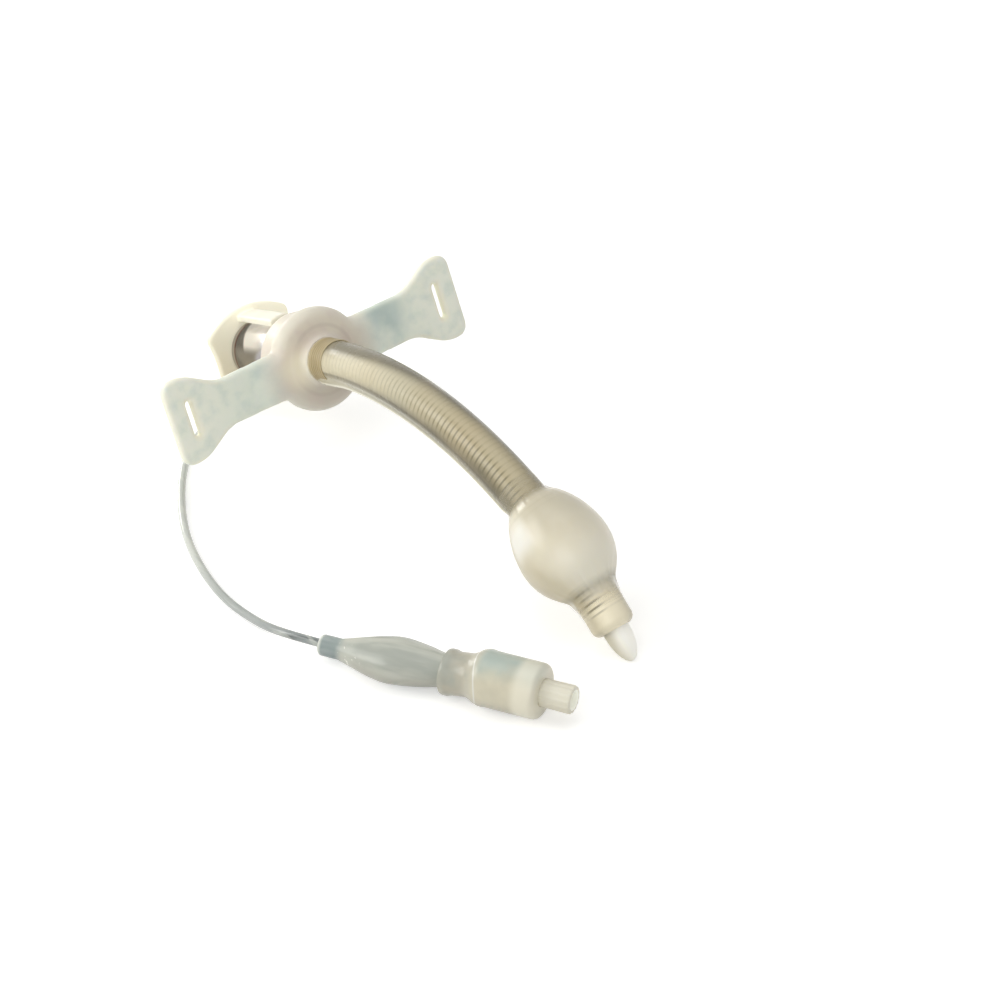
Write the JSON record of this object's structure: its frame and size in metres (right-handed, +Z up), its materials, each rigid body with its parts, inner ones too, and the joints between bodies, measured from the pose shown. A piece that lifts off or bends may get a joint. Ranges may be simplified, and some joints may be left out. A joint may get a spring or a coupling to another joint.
{
  "type": "tracheostomy tube",
  "caption": "Soft curved airway tube with a blown-up cuff, winged neck flange, metal connector, obturator in place, and a pilot balloon with a check valve on a thin line.",
  "frame": {"origin": "on the table, under the middle of the box round the tube, flange, connector and obturator, the pilot line and what is on it left out", "axes": "+Z up from the table the part lies on; +Y along the part towards the obturator's handle, so the tube runs out towards -Y; +X along the flange's right wing"},
  "size_m": [0.101, 0.1623, 0.0378],
  "materials": {
    "tube_silicone": "translucent, glossy, warm beige",
    "wire_steel": "fine drawn wire seen through the wall",
    "cuff_film": "thin pearly film, blown up",
    "flange_silicone": "milky, satin, slightly translucent",
    "connector_metal": "polished, mirror-like",
    "handle_plastic": "cream moulded plastic, satin",
    "rod_plastic": "white moulded plastic",
    "line_plastic": "clear, faintly blue",
    "balloon_film": "thin frosted film",
    "sleeve_plastic": "clear soft sleeve, blue at its edges",
    "valve_plastic": "white moulded plastic",
    "seal_rubber": "dark soft seal",
    "spring_steel": "fine spring wire"
  },
  "bodies": {
    "tube": {"shaft_tube": "tube_silicone", "reinforcing_wire": "wire_steel", "cuff": "cuff_film", "neck_flange": "flange_silicone", "connector": "connector_metal", "pilot_line": "line_plastic", "pilot_balloon": "balloon_film", "valve_sleeve": "sleeve_plastic", "valve_body": "valve_plastic", "valve_base": "valve_plastic", "valve_spring": "spring_steel"},
    "obturator": {"obturator_handle": "handle_plastic", "obturator_rod": "rod_plastic"},
    "plunger": {"valve_plunger": "valve_plastic", "valve_seal": "seal_rubber"}
  },
  "joints": [
    {"name": "obturator_withdraw", "type": "hinge", "parent": "tube", "child": "obturator", "pos_m": [0, 0.01125, -0.08314], "axis": [-1, 0, 0], "range_deg": [0, 3.7]},
    {"name": "valve_push", "type": "slide", "parent": "tube", "child": "plunger", "axis": [-0.454, 0.891, 0], "range_m": [0, 0.0018], "stiffness_N_per_m": 300, "springref_m": -0.002, "deforming": ["valve_spring"]}
  ]
}
